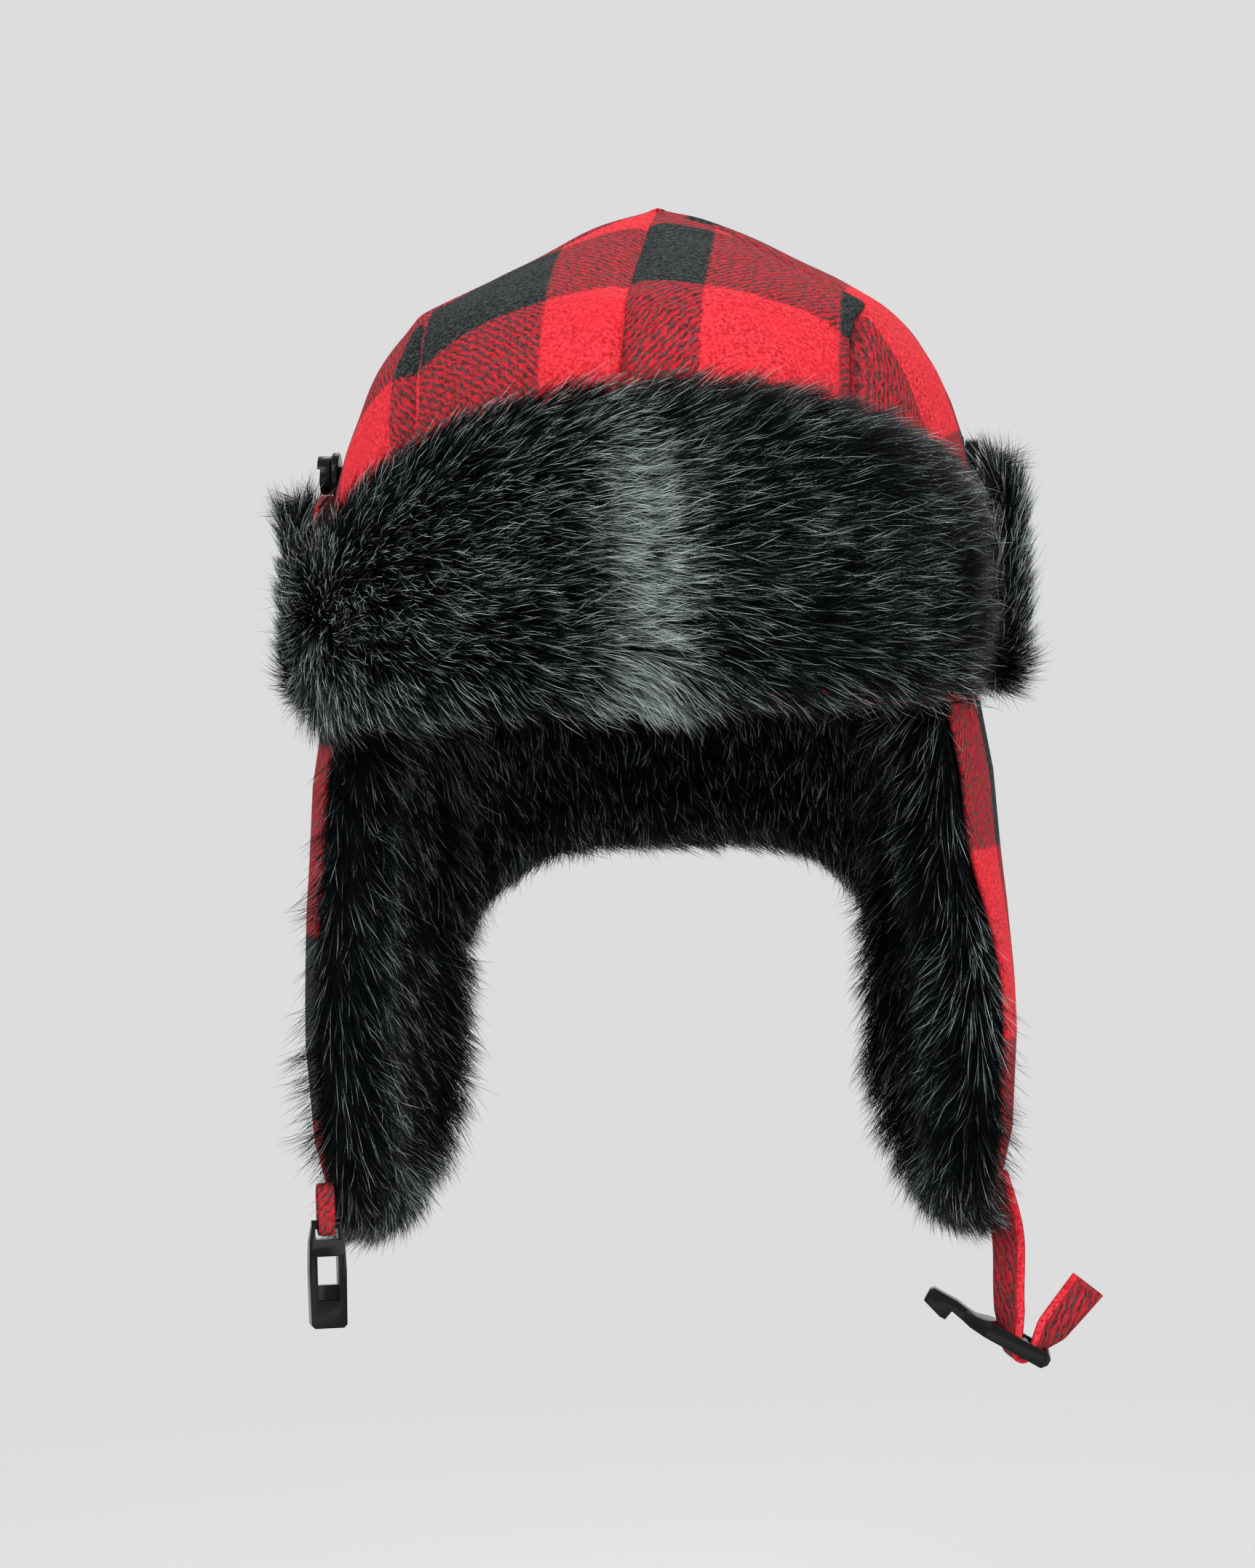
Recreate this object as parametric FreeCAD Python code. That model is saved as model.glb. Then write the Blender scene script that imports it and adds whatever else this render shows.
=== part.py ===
import FreeCAD, Part
import os
from math import cos, pi, radians, sin

# A trapper hat with its flaps down. Millimetres, +Z up, the wearer looks along -Y and the wearer's
# left is +X. The origin is the centre of the head opening, level with the crown's lower edge.
# Round walls are drawn as rings about Z and then stretched along Y, because a head is longer than
# it is wide. An angle is counted from the centre front (-Y), through the wearer's left (+X).

os.makedirs("parts", exist_ok=True)
V = FreeCAD.Vector
UP = V(0, 0, 1)

# Driving dimensions
DEPTH_RATIO = 1.18  # front-to-back size of the hat over its width
CROWN_RIM = 99.0  # half of the crown's width at its lower edge
CROWN_TOP = 150.5  # height of the crown's peak
FRONT_SEAM = 57.0  # angle of the seams beside the front gores
BACK_SEAM = 123.0  # angle of the seams beside the back gores

CLOTH = 1.6  # thickness of the outer wool cloth
CROWN_WADDING = 6.0
LINING = 1.0
HEADBAND = 2.0
HEADBAND_HEIGHT = 32.0

FLAP_WADDING = 3.0
FLAP_FUR = 19.0  # backing and pile together
FLAP_TOP = -4.0  # the flaps' upper edges, just under the crown
FLAP_FUR_TOP = -8.0
FLAP_FRONT = -48.0  # Y of the ear flap's front edge
FLAP_SPLIT = 72.0  # Y where the ear flap ends and the neck flap begins
SPLIT_GAP = 0.5

VISOR_ANGLE = 65.0  # half of the visor's sweep round the crown
VISOR_OFF = 0.8  # gap between the crown and the turned-up visor
STIFFENER = 1.0

CUFF_BACK, CUFF_FRONT = 50.0, -8.0  # the side cuff's ends along Y
CUFF_OFF = 1.0
CUFF_FOOT = 6.0  # height of its lower edge, where it folds
CUFF_STAND_OFF = 8.2  # its gap to the crown at the snaps
CUFF_SECTOR = (80, 120)  # angles that hold it
SNAP_HEIGHT, SNAP_Y = 73.0, 8.0
SNAP_RADIUS = 7.0
SNAP_STEM, SNAP_STEM_RADIUS = 3.0, 3.0  # the stud's stem: its length off the crown, and its radius
SNAP_CAP, SNAP_ROUNDING = 2.2, 0.6  # thickness of the stud's cap, and the rounding of its rim
SNAP_GAP = 0.4  # between the stud's cap and the socket that closes on it

STRAP_WIDTH, STRAP_THICK = 12.0, 2.8
STRAP_X, STRAP_Y, STRAP_TOP = 105.2, -10.0, -148.0
STRAP_TURN = 3.6  # radius of the strap's middle line round the clip's bar
STRAP_TURN_Z = -197.0
TAIL_ANGLE, TAIL_LENGTH = 40.0, 34.0  # the loose end's lean from upright, and its length

CLIP_LEAN = 30.0  # the male clip's slope
CLIP_THICK = 5.0
BAR_RADIUS = 1.9

LATCH_X, LATCH_Y, LATCH_Z = -99.0, -42.0, -153.0  # middle of the female clip's top bar
LATCH_TURN = 15.0  # how far the female clip's face is turned from the front
LATCH_BAR = 1.4

# The crown's profile, as (half-width, height): steep sides, a rounded shoulder, a sloping top
CROWN = [(CROWN_RIM, 0), (98.5, 25), (96, 50), (91.5, 75), (85, 93), (79, 106), (72.5, 116),
         (60, 124.5), (42, 134), (20, 145), (0, CROWN_TOP)]
# The hanging flaps' profile: they flare a little and curl in at the bottom
SKIRT = [(99.8, -1), (102.5, -35), (105.5, -80), (106.6, -115), (104.8, -140), (97, -170)]


def spline(points):
    curve = Part.BSplineCurve()
    curve.interpolate([V(x, 0, z) for x, z in points])
    return curve.toShape()


def path_face(*paths):
    """A flat face in the XZ plane, bounded by runs of points: two points are a line, more a curve."""
    edges = []
    for path in paths:
        if len(path) > 2:
            edges.append(spline(path))
        else:
            edges.append(Part.makeLine(V(path[0][0], 0, path[0][1]), V(path[1][0], 0, path[1][1])))
    return Part.Face(Part.Wire(edges))


def ring_sector(face, start, end):
    """Sweeps a profile face round Z between two angles and stretches it to the head's oval."""
    turned = face.copy()
    turned.rotate(V(0, 0, 0), UP, start - 90)
    solid = turned.revolve(V(0, 0, 0), UP, end - start)
    stretch = FreeCAD.Matrix()
    stretch.A22 = DEPTH_RATIO
    return solid.transformGeometry(stretch)


def crown_line(depth):
    """The crown's profile moved inward by a depth, along its own normals."""
    moved = [(CROWN[0][0] - depth, 0)]
    for before, (r, z), after in zip(CROWN, CROWN[1:], CROWN[2:]):
        run, rise = after[0] - before[0], after[1] - before[1]
        length = (run * run + rise * rise) ** 0.5
        moved.append((r - depth * rise / length, z + depth * run / length))
    moved.append((0, CROWN_TOP - depth * 1.1))
    return moved


def crown_layer(outside, inside, start, end):
    outer, inner = crown_line(outside), crown_line(inside)
    face = path_face(outer, [outer[-1], inner[-1]], inner[::-1], [inner[0], outer[0]])
    return ring_sector(face, start, end)


def crown_radius(z):
    """Half of the crown's width at a height."""
    for (r0, z0), (r1, z1) in zip(CROWN, CROWN[1:]):
        if z <= z1:
            return r0 + (r1 - r0) * (z - z0) / (z1 - z0)
    return 0


def skirt_layer(outside, inside, start, end):
    outer = [(r - outside, z) for r, z in SKIRT]
    inner = [(r - inside, z) for r, z in SKIRT]
    face = path_face(outer, [outer[-1], inner[-1]], inner[::-1], [inner[0], outer[0]])
    return ring_sector(face, start, end)


def side_prism(top, side):
    """The ear flap's outline seen from the side, as a block that crosses the flap's wall."""
    low = [(FLAP_SPLIT, -78), (70.5, -100), (67, -122), (56, -143), (34, -158), (5, -166),
           (-19, -162), (-36, -149), (-45, -128), (FLAP_FRONT, -100)]
    face = path_face(low, [low[-1], (FLAP_FRONT, top)], [(FLAP_FRONT, top), (FLAP_SPLIT, top)],
                     [(FLAP_SPLIT, top), low[0]])
    face.rotate(V(0, 0, 0), UP, 90)  # from the XZ plane to the YZ plane
    face.translate(V(20 * side, 0, 0))
    return face.extrude(V(120 * side, 0, 0))


def back_prism(top):
    """The neck flap's outline seen from behind: a shallow arch between the ear flaps."""
    half = [(88, -84), (75, -72), (58, -58), (30, -51), (0, -49)]
    arch = half + [(-x, z) for x, z in half[-2::-1]]
    face = path_face(arch, [arch[-1], (-88, top)], [(-88, top), (88, top)], [(88, top), arch[0]])
    face.translate(V(0, FLAP_SPLIT + SPLIT_GAP, 0))
    return face.extrude(V(0, 90, 0))


def front_prism():
    """The visor's outline seen from the front: high in the middle and lower at its ends."""
    half = [(118, 55), (100, 63), (82, 76), (58, 88), (30, 92.5), (0, 92)]
    top = half + [(-x, z) for x, z in half[-2::-1]]
    face = path_face(top, [top[-1], (-118, -5)], [(-118, -5), (118, -5)], [(118, -5), top[0]])
    face.translate(V(0, -30, 0))
    return face.extrude(V(0, -130, 0))


def cuff_prism(side):
    """A side cuff's outline from the side: straight below, with round upper corners."""
    middle = (CUFF_FRONT + CUFF_BACK) / 2
    top = [(CUFF_BACK, 50), (CUFF_BACK - 6, 68), (middle, 78), (CUFF_FRONT + 6, 72), (CUFF_FRONT, 50)]
    face = path_face(top, [top[-1], (CUFF_FRONT, 0)], [(CUFF_FRONT, 0), (CUFF_BACK, 0)],
                     [(CUFF_BACK, 0), top[0]])
    face.rotate(V(0, 0, 0), UP, 90)
    face.translate(V(60 * side, 0, 0))
    return face.extrude(V(90 * side, 0, 0))


def mirrored(shape):
    return shape.mirror(V(0, 0, 0), V(1, 0, 0))


def disc_x(radius, x0, x1, y, z):
    return Part.makeCylinder(radius, x1 - x0, V(x0, y, z), V(1, 0, 0))


def crown_parts():
    seams = {"front_left": (0, FRONT_SEAM), "side_left": (FRONT_SEAM, BACK_SEAM),
             "back_left": (BACK_SEAM, 180)}
    parts = {}
    for name, (start, end) in seams.items():
        gore = crown_layer(0, CLOTH, start, end)
        parts["crown_gore_" + name] = gore
        parts["crown_gore_" + name.replace("left", "right")] = mirrored(gore)
    inner = CLOTH + CROWN_WADDING
    parts["crown_wadding"] = crown_layer(CLOTH, inner, 0, 360)
    parts["crown_lining"] = crown_layer(inner, inner + LINING, 0, 360)
    outer = inner + LINING
    wall = [(crown_radius(z) - outer, z) for z in (0, 10, 20, HEADBAND_HEIGHT)]
    face = path_face([wall[0], wall[-1]], [wall[-1], (wall[-1][0] - HEADBAND, wall[-1][1])],
                     [(wall[-1][0] - HEADBAND, wall[-1][1]), (wall[0][0] - HEADBAND, 0)],
                     [(wall[0][0] - HEADBAND, 0), wall[0]])
    parts["headband"] = ring_sector(face, 0, 360)
    surface = crown_radius(SNAP_HEIGHT)
    cap_start = surface + SNAP_STEM
    shank = disc_x(SNAP_STEM_RADIUS, surface - 0.4, cap_start, SNAP_Y, SNAP_HEIGHT)
    cap = disc_x(SNAP_RADIUS, cap_start, cap_start + SNAP_CAP, SNAP_Y, SNAP_HEIGHT)
    rim = [edge for edge in cap.Edges if edge.Closed]
    cap = cap.makeFillet(SNAP_ROUNDING, rim)
    parts["left_snap_stud"] = shank.fuse(cap).removeSplitter().cut(parts["crown_gore_side_left"])
    parts["right_snap_stud"] = mirrored(parts["left_snap_stud"])
    return parts


def visor_parts():
    def line(off):
        return [(crown_radius(z) + off, z) for z in (0, 20, 40, 60, 80, 100)]

    def band(inside, outside):
        inner, outer = line(inside), line(outside)
        face = path_face(inner, [inner[-1], outer[-1]], outer[::-1], [outer[0], inner[0]])
        return ring_sector(face, -VISOR_ANGLE, VISOR_ANGLE).common(front_prism())

    cloth_out = VISOR_OFF + CLOTH
    back = cloth_out + STIFFENER
    inner = line(back)
    pile = [inner[0], (108, -2), (113.5, 8), (116, 25), (115.5, 48), (111, 70), (103.5, 86), inner[-1]]
    fur = ring_sector(path_face(inner, pile[::-1]), -VISOR_ANGLE, VISOR_ANGLE).common(front_prism())
    return {"visor_shell": band(VISOR_OFF, cloth_out), "visor_stiffener": band(cloth_out, back),
            "visor_fur": fur}


def flap_parts():
    parts = {}
    depths = {"shell": (0, CLOTH, FLAP_TOP), "wadding": (CLOTH, CLOTH + FLAP_WADDING, FLAP_TOP),
              "fur": (CLOTH + FLAP_WADDING, CLOTH + FLAP_WADDING + FLAP_FUR, FLAP_FUR_TOP)}
    for layer, (outside, inside, top) in depths.items():
        ear = skirt_layer(outside, inside, 40, 160).common(side_prism(top, 1))
        parts["left_ear_flap_" + layer] = ear
        parts["right_ear_flap_" + layer] = mirrored(ear)
        parts["neck_flap_" + layer] = skirt_layer(outside, inside, 110, 250).common(back_prism(top))
    return parts


def cuff_parts():
    """The turned-up side cuffs. They stand off the crown at the top, where the snaps hold them."""
    foot, top = crown_radius(CUFF_FOOT) + CUFF_OFF, crown_radius(SNAP_HEIGHT) + CUFF_STAND_OFF
    inner = [(foot, CUFF_FOOT), (foot + 0.3, 30), (top + 1, 55), (top, 80)]
    cloth = [(r + CLOTH, z) for r, z in inner]
    face = path_face(inner, [inner[-1], cloth[-1]], cloth[::-1], [cloth[0], inner[0]])
    shell = ring_sector(face, *CUFF_SECTOR).common(cuff_prism(1))
    pile = [cloth[0], (108, 9), (113, 20), (116.5, 36), (115, 58), (109, 74), cloth[-1]]
    fur = ring_sector(path_face(cloth, pile[::-1]), *CUFF_SECTOR).common(cuff_prism(1))
    face_x = crown_radius(SNAP_HEIGHT) + SNAP_STEM + SNAP_CAP + SNAP_GAP
    socket = disc_x(SNAP_RADIUS - 1, face_x, face_x + 4, SNAP_Y, SNAP_HEIGHT).cut(shell).cut(fur)
    socket = min(socket.Solids, key=lambda s: s.BoundBox.XMin)
    parts = {"left_cuff_shell": shell, "left_cuff_fur": fur, "left_cuff_socket": socket}
    parts.update({n.replace("left", "right"): mirrored(s) for n, s in list(parts.items())})
    return parts


def chin_strap():
    """A flat strap: straight down, round the clip's bar and up into a loose end."""
    half = STRAP_THICK / 2
    centre = V(STRAP_X + STRAP_TURN, 0, STRAP_TURN_Z)
    lean = radians(TAIL_ANGLE)
    along, across = V(sin(lean), 0, cos(lean)), V(cos(lean), 0, -sin(lean))

    def side(radius):
        """One face of the strap, from its top end to the loose end."""
        start, turn = V(centre.x - radius, 0, STRAP_TOP), V(centre.x - radius, 0, centre.z)
        leave = centre + across * radius
        lowest = (V(-radius, 0, 0) + across * radius).normalize() * radius
        lowest = lowest if lowest.z < 0 else lowest * -1
        return [Part.makeLine(start, turn), Part.Arc(turn, centre + lowest, leave).toShape(),
                Part.makeLine(leave, leave + along * TAIL_LENGTH)]

    outer, inner = side(STRAP_TURN + half), side(STRAP_TURN - half)
    ends = [Part.makeLine(outer[0].Vertexes[0].Point, inner[0].Vertexes[0].Point),
            Part.makeLine(outer[2].Vertexes[1].Point, inner[2].Vertexes[1].Point)]
    face = Part.Face(Part.Wire(Part.__sortEdges__(outer + inner + ends)))
    face.translate(V(0, STRAP_Y - STRAP_WIDTH / 2, 0))
    return face.extrude(V(0, STRAP_WIDTH, 0))


def polygon_prism(points, place, step):
    """A closed outline of (a, b) points, placed by a function and extruded by a vector."""
    corners = [place(a, b) for a, b in points]
    return Part.Face(Part.makePolygon(corners + corners[:1])).extrude(step)


def male_clip():
    """A flat clip with a barbed head, a narrow neck and two slots for the strap.
    Its own X runs from the head to the tip, with 0 at the bar between the slots."""
    half = CLIP_THICK / 2
    profile = [(-33, -2.2), (-33, 1.6), (-32, 2.5), (-24, 2.5), (-17, 1.4), (-12, 2.3), (-3, half),
               (7.5, half), (9, 1), (9, -1), (7.5, -half), (-12, -half), (-17, -2.4), (-24, -1),
               (-24.6, -4.2), (-26.5, -4.2)]
    plan = [(-33, -2.6), (-33, 2.6), (-32, 3.2), (-20, 3.2), (-12, 8.5), (7, 8.5), (9, 6.5),
            (9, -6.5), (7, -8.5), (-12, -8.5), (-20, -3.2), (-32, -3.2)]
    side = polygon_prism(profile, lambda a, b: V(a, -9, b), V(0, 18, 0))
    top = polygon_prism(plan, lambda a, b: V(a, b, -6), V(0, 0, 12))
    clip = side.common(top)
    slot_half = STRAP_WIDTH / 2 + 0.5
    for start, end in ((-8, 0), (0, 6.3)):
        clip = clip.cut(Part.makeBox(end - start, 2 * slot_half, 12, V(start, -slot_half, -6)))
    bar = Part.makeCylinder(BAR_RADIUS, 17, V(0, -8.5, 0), V(0, 1, 0))
    clip = clip.fuse(bar).removeSplitter()
    clip.rotate(V(0, 0, 0), V(0, 1, 0), CLIP_LEAN)
    clip.translate(V(STRAP_X + STRAP_TURN, STRAP_Y, STRAP_TURN_Z))
    return clip


def female_clip():
    """The clip's other half, hanging by a thin top bar: eye, window, recess and solid foot.
    Drawn upright with the bar's middle at 0, X across and Y through its thickness."""
    outline = [(-4.4, 0), (-5.3, -5), (-5.6, -14), (-5.4, -30), (-4.4, -31), (4.4, -31),
               (5.4, -30), (5.6, -14), (5.3, -5), (4.4, 0)]
    thickness = [(-1.4, 0), (-3, -9), (-3, -31), (3, -31), (3, -9), (1.4, 0)]
    body = polygon_prism(outline, lambda a, b: V(a, -4, b), V(0, 8, 0))
    body = body.common(polygon_prism(thickness, lambda a, b: V(-7, a, b), V(14, 0, 0)))
    body = body.cut(Part.makeBox(6.8, 8, 4.4, V(-3.4, -4, -4.4)))  # the eye
    body = body.fuse(Part.makeCylinder(LATCH_BAR, 8.8, V(-4.4, 0, 0), V(1, 0, 0)))
    body = body.cut(Part.makeBox(6.4, 8, 9, V(-3.2, -4, -18.4)))  # the window
    body = body.cut(Part.makeBox(6.4, 4.4, 4.8, V(-3.2, -4, -22.8)))  # the recess below it
    body = body.removeSplitter()
    body.rotate(V(0, 0, 0), UP, LATCH_TURN)
    body.translate(V(LATCH_X, LATCH_Y, LATCH_Z))
    return body


def clip_loop():
    """The short strap loop that holds the female clip: a flat oval ring through its eye."""
    inside, outside, height = LATCH_BAR + 0.5, LATCH_BAR + 2.1, 9.0

    def slab(radius, width):
        low = Part.makeCylinder(radius, width, V(-width / 2, 0, 0), V(1, 0, 0))
        high = Part.makeCylinder(radius, width, V(-width / 2, 0, height), V(1, 0, 0))
        return low.fuse(Part.makeBox(width, 2 * radius, height, V(-width / 2, -radius, 0))).fuse(high)

    ring = slab(outside, 6).cut(slab(inside, 8)).removeSplitter()
    ring.rotate(V(0, 0, 0), UP, LATCH_TURN)
    ring.translate(V(LATCH_X, LATCH_Y, LATCH_Z))
    return ring


nodes = {}
for group in (crown_parts(), visor_parts(), flap_parts(), cuff_parts()):
    nodes.update(group)
nodes["left_chin_strap"] = chin_strap()
nodes["male_clip"] = male_clip()
nodes["female_clip"] = female_clip()
nodes["right_clip_loop"] = clip_loop()

for node, shape in sorted(nodes.items()):
    box = shape.BoundBox
    print(f"{node:26s} solids {len(shape.Solids)} valid {shape.isValid()} volume {shape.Volume:9.1f}",
          f"x {box.XMin:.1f} {box.XMax:.1f} y {box.YMin:.1f} {box.YMax:.1f}",
          f"z {box.ZMin:.1f} {box.ZMax:.1f}")
    shape.exportStep(f"parts/{node}.step")
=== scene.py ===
from math import cos, pi, radians, sin

import bmesh
import bpy
import numpy as np
from mathutils import Matrix, Vector


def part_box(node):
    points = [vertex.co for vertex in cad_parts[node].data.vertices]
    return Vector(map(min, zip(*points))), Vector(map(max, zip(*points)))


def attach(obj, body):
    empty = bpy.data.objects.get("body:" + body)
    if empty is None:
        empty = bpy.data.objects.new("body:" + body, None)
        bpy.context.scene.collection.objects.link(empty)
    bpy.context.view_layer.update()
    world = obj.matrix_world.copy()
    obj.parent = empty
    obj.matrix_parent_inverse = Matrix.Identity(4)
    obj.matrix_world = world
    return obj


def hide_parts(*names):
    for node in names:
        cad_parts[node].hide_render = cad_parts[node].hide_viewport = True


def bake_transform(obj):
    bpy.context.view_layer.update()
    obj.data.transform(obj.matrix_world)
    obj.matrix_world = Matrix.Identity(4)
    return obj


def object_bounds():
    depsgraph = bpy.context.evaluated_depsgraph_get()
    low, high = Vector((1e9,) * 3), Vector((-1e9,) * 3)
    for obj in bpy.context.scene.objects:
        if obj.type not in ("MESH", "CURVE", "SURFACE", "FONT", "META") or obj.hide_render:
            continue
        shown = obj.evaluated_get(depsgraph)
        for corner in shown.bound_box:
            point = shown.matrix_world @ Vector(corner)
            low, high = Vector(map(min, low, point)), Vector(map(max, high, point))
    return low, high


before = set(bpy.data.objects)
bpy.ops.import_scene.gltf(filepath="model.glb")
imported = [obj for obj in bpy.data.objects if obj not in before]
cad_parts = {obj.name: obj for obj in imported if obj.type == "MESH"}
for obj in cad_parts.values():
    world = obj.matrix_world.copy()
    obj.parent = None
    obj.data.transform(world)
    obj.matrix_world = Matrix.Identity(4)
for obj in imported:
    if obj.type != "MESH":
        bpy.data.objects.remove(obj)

CAD_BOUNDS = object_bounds()

# Lengths in this file are millimetres, as in the part's source, and become metres when a mesh is made.
# An angle round the head is counted from the centre front (-Y), through the wearer's left (+X).
MM = 0.001
DEPTH_RATIO = 1.18
CLOTH = 1.6
PADDING = 8.4  # from the crown's outside to the middle of its quilted lining
VISOR_ANGLE, VISOR_HEIGHT, VISOR_BOTTOM = 65.0, 88.5, 4.5
FLAP_SPLIT = 72.0
WARP, WEFT = 80.0, 112.0  # one dark and one light stripe of the check, across and along

# Profiles as (half-width, height): the crown along a seam and between two, and the hanging flaps
SEAM = np.array([(99, -0.5), (98.8, 25), (96.5, 50), (92, 74), (85.5, 95), (80.5, 107), (75.5, 117.5),
                 (69.5, 121.5), (45, 133), (20, 144.6), (0, 151)])
BETWEEN = np.array([(99.6, -0.5), (100.2, 25), (98.8, 50), (94.8, 74), (88.2, 95), (81.5, 107),
                    (72.5, 117), (61, 124.5), (42, 134.5), (20, 145), (0, 151)])
SKIRT = np.array([(99.4, 2), (100.2, -1), (103.8, -22), (106.4, -60), (107.2, -100), (105.2, -130),
                  (98, -160), (92, -180)])
SEAM_ANGLE = np.array([(0, 43), (60, 44), (80, 46), (104, 53), (113, 58), (118, 66), (134, 67), (151, 66)])
CROWN_TOP, SHOULDER_Z, SHOULDER_RADIUS = 151.0, 118.0, 75.5
CROWN_CENTRE = np.array([0, 0, 40.0])
INNER_RADIUS = 88.5  # the headband's inside
TWIST = -2.6  # degrees that the soft crown is turned on its rim
LEAN = 0.036  # the soft crown leans to the wearer's left by this share of its height

CAMERA_DISTANCE, CAMERA_LENS, SENSOR = 1.6, 120, 36  # metres, mm, mm
CAMERA_YAW, CAMERA_TILT, CAMERA_ROLL = radians(4), radians(1.5), radians(-1.4)
AIM = Vector((0, 0, -24 * MM))  # the camera and the lamps look at this point
AIM_SHIFT = -8 * MM  # the camera's own aim lies this far to its right
# Each lamp's name, place and size in metres, and watts
LAMPS = (("key", (-0.9, -1.5, 1.3), 1.3, 32), ("fill", (1.3, -1.3, 0.5), 1.4, 20),
         ("back", (0.2, 1.3, 1.4), 1.2, 14), ("low", (0, -1.1, -0.7), 0.9, 5))
BACKGROUND, FLOOR_TONE = 0.72, 0.60
FLOOR_DROP = 170  # mm from the object's lowest point to the floor
FLOOR_RINGS = [0, 300, 600, 900, 1200, 1500]
FADE_START, FADE_END = 0.3, 1.3  # metres from the middle, between which the floor fades out


# Numbers and curves

def smooth_curve(points, t):
    """Points on a Catmull-Rom curve through the rows of points, at t from 0 to 1."""
    points = np.asarray(points, float)
    ends = np.vstack([2 * points[0] - points[1], points, 2 * points[-1] - points[-2]])
    at = np.clip(np.asarray(t, float), 0, 1) * (len(points) - 1)
    i = np.minimum(at.astype(int), len(points) - 2)
    f = (at - i)[..., None]
    a, b, c, d = ends[i], ends[i + 1], ends[i + 2], ends[i + 3]
    return b + 0.5 * f * (c - a + f * (2 * a - 5 * b + 4 * c - d + f * (3 * (b - c) + d - a)))


def hashed(ix, iy, iz, seed):
    """A repeatable number from 0 to 1 for each corner of a lattice."""
    n = (ix * 374761393 + iy * 668265263 + iz * 2147483647 + seed * 1274126177) & 0xFFFFFFFF
    n = ((n ^ (n >> 13)) * 1274126177) & 0xFFFFFFFF
    n = ((n ^ (n >> 16)) * 2246822519) & 0xFFFFFFFF
    return (n ^ (n >> 15)) / 4294967295.0


def noise(points, size, seed):
    """Smooth value noise from -1 to 1 at each point, with lumps about size mm wide."""
    p = np.asarray(points, float) / size
    cell = np.floor(p).astype(np.int64)
    f = p - cell
    f = f * f * (3 - 2 * f)
    total = np.zeros(len(p))
    for dx in (0, 1):
        for dy in (0, 1):
            for dz in (0, 1):
                weight = (np.abs(1 - dx - f[:, 0]) * np.abs(1 - dy - f[:, 1]) * np.abs(1 - dz - f[:, 2]))
                total += weight * hashed(cell[:, 0] + dx, cell[:, 1] + dy, cell[:, 2] + dz, seed)
    return 2 * total - 1


def noises(points, size, seed):
    """Three noises at each point, as a vector."""
    return np.stack([noise(points, size, seed + k) for k in range(3)], 1)


def unit(v):
    return v / np.maximum(np.linalg.norm(v, axis=-1, keepdims=True), 1e-9)


def oval(r, angle):
    """X and Y on the head's oval of half-width r, at an angle in radians."""
    return r * np.sin(angle), -DEPTH_RATIO * r * np.cos(angle)


def wall_point(y, z, inward, side):
    """The point of an ear flap's wall at y and z, a depth inward from the flap's outer face."""
    r = np.interp(-z, -SKIRT[:, 1], SKIRT[:, 0]) - inward
    c = np.clip(-y / (DEPTH_RATIO * r), -0.999, 0.999)
    low = np.clip((-z - 40) / 50, 0, 1)
    flare = (6.0 if side > 0 else 1.5) * low * low * (3 - 2 * low) * np.clip((12 - y) / 60, -1, 1)
    return np.stack([side * (r * np.sqrt(1 - c * c) + flare), y, z], axis=-1)


def leaned(points):
    """Moves points over by the crown's lean."""
    return points + np.maximum(points[..., 2:], 0) * [LEAN, 0, 0]


def crown_radius(z):
    return np.interp(z, SEAM[:, 1], (SEAM[:, 0] + BETWEEN[:, 0]) / 2)


def closed_outline(outline, u, share, stretch=(1, 1)):
    """The outline's curve over the first share of u, then straight back from its end to its start."""
    curve = smooth_curve(outline, np.clip(u / share, 0, 1)) * stretch
    back = np.clip((u - share) / (1 - share), 0, 1)[..., None]
    straight = outline[-1] * (1 - back) + outline[0] * back
    return np.where((u > share)[..., None], straight, curve)


def rolled(inset, reach):
    """From 0 at a padded edge to 1 a reach in from it, on a quarter round."""
    return np.sqrt(np.clip(1 - (1 - np.clip(inset / reach, 0, 1)) ** 2, 0, 1))


# Meshes

def shares(rows, columns, wrap=False):
    """v down the rows and u along the columns of a grid, from 0 to 1, or short of 1 if u wraps."""
    u = np.linspace(0, 1, columns + 1)[:-1] if wrap else np.linspace(0, 1, columns)
    return np.meshgrid(np.linspace(0, 1, rows), u, indexing="ij")


def make_object(name, vertices, faces, uv=None):
    """A mesh object from points in mm. uv holds one pair for each vertex."""
    mesh = bpy.data.meshes.new(name)
    mesh.from_pydata((np.asarray(vertices) * MM).tolist(), [], [list(map(int, f)) for f in faces])
    if uv is not None:
        layer = mesh.uv_layers.new(name="cloth")
        corner = np.zeros(len(mesh.loops), np.int32)
        mesh.loops.foreach_get("vertex_index", corner)
        layer.data.foreach_set("uv", np.asarray(uv, np.float32)[corner].ravel())
    mesh.polygons.foreach_set("use_smooth", [True] * len(mesh.polygons))
    obj = bpy.data.objects.new(name, mesh)
    bpy.context.scene.collection.objects.link(obj)
    return obj


def clean(obj):
    """Joins points that meet, drops faces with no area and turns the faces outward."""
    work = bmesh.new()
    work.from_mesh(obj.data)
    bmesh.ops.remove_doubles(work, verts=work.verts, dist=0.05 * MM)
    bmesh.ops.dissolve_degenerate(work, dist=0.01 * MM, edges=work.edges)
    bmesh.ops.recalc_face_normals(work, faces=work.faces)
    work.to_mesh(obj.data)
    work.free()
    return obj


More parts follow.
